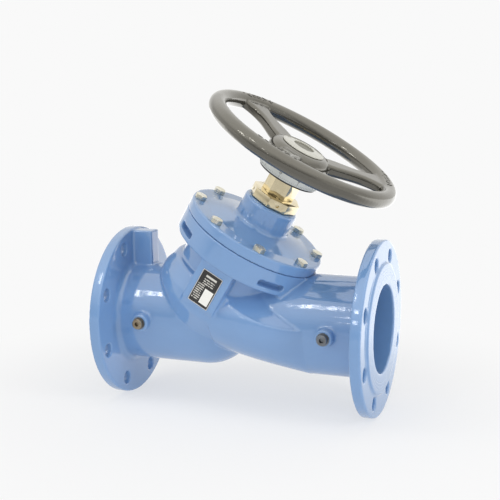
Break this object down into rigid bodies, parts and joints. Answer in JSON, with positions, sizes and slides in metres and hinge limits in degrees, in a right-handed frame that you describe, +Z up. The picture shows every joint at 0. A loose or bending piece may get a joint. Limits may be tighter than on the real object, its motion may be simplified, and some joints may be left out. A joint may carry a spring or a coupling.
{
  "type": "double regulating valve",
  "caption": "Flanged double regulating valve with a slanted stem, bolted bonnet, brass gland, scale drum and spoked handwheel that lifts the inner disc.",
  "frame": {"origin": "centre of the inlet contact face, on the pipe axis", "axes": "+X along the pipe from inlet to outlet, +Z up, and the stem leans towards the outlet in the XZ plane"},
  "size_m": [0.409, 0.2932, 0.4546],
  "materials": {
    "body_paint": "smooth blue epoxy over cast iron",
    "wheel_paint": "glossy black paint over cast iron",
    "brass": "turned and milled, plain",
    "bronze": "machined bronze",
    "zinc_steel": "zinc plated",
    "plug_steel": "dull plated",
    "stem_steel": "ground stainless steel",
    "seat_steel": "lapped face",
    "disc_iron": "machined iron",
    "drum_plastic": "pale grey with dark scale marks",
    "cap_plastic": "grey, fine satin",
    "plug_plastic": "darker grey, satin",
    "plate_black": "black printed plate with bare panels",
    "packing": "white packing rings",
    "gasket": "graphite sheet",
    "seal_rubber": "black rubber"
  },
  "bodies": {
    "valve": {"valve_body": "body_paint", "seat_ring": "seat_steel", "bonnet": "body_paint", "bonnet_gasket": "gasket", "bonnet_bolts": "zinc_steel", "stem_bush": "bronze", "lower_thrust_ring": "bronze", "upper_thrust_ring": "bronze", "gland_collar": "brass", "gland_o_ring": "seal_rubber", "stem_packing": "packing", "gland_follower": "bronze", "gland_nut": "brass", "nameplate": "plate_black", "inlet_test_washer": "zinc_steel", "inlet_test_plug": "plug_steel", "outlet_test_washer": "zinc_steel", "outlet_test_plug": "plug_steel"},
    "stem_rotor": {"stem": "stem_steel", "handwheel": "wheel_paint", "scale_drum": "drum_plastic", "drum_seal": "seal_rubber", "wheel_key": "stem_steel", "wheel_washer": "zinc_steel", "wheel_nut": "zinc_steel", "hub_cap": "cap_plastic", "access_plug": "plug_plastic"},
    "disc_carrier": {"disc": "disc_iron", "disc_seal": "seal_rubber", "throttle_plug": "bronze", "carrier_sleeve": "bronze", "guide_keys": "stem_steel", "carrier_washer": "zinc_steel", "carrier_nut": "zinc_steel"},
    "setting": {"setting_spindle": "stem_steel", "setting_o_ring": "seal_rubber"}
  },
  "joints": [
    {"name": "handwheel_turn", "type": "hinge", "parent": "valve", "child": "stem_rotor", "pos_m": [0.136, 0, 0], "axis": [0.5, 0, 0.866], "range_deg": [0, 3024]},
    {"name": "disc_lift", "type": "slide", "parent": "valve", "child": "disc_carrier", "axis": [0.5, 0, 0.866], "range_m": [0, 0.042]},
    {"name": "setting_turn", "type": "hinge", "parent": "stem_rotor", "child": "setting", "pos_m": [0.136, 0, 0], "axis": [0.5, 0, 0.866], "range_deg": [0, 3024]}
  ],
  "couplings": [
    {"joint": "disc_lift", "follows": "handwheel_turn", "m_per_rad": 0.00079577}
  ]
}
